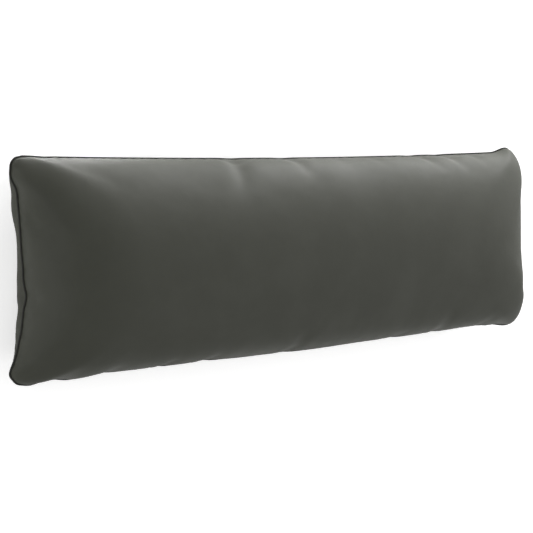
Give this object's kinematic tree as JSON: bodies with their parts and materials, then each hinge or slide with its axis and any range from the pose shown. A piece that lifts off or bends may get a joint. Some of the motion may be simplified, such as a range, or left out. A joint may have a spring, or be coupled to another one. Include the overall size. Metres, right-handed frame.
{
  "type": "back cushion",
  "caption": "Long plump back cushion of smooth faux leather with a corded knife-edge seam all round, lying on its back panel.",
  "frame": {"origin": "under the middle of the cushion, on the surface that it lies on", "axes": "+X along the length, +Y to the edge that is uppermost in use, +Z out of the front panel"},
  "size_m": [1.2232, 0.396, 0.173],
  "materials": {
    "cover": "smooth dark green-grey faux leather with a satin sheen",
    "piping": "near-black faux leather over a thin cord"
  },
  "bodies": {
    "root": {"cushion": "cover", "piping": "piping"}
  },
  "joints": []
}
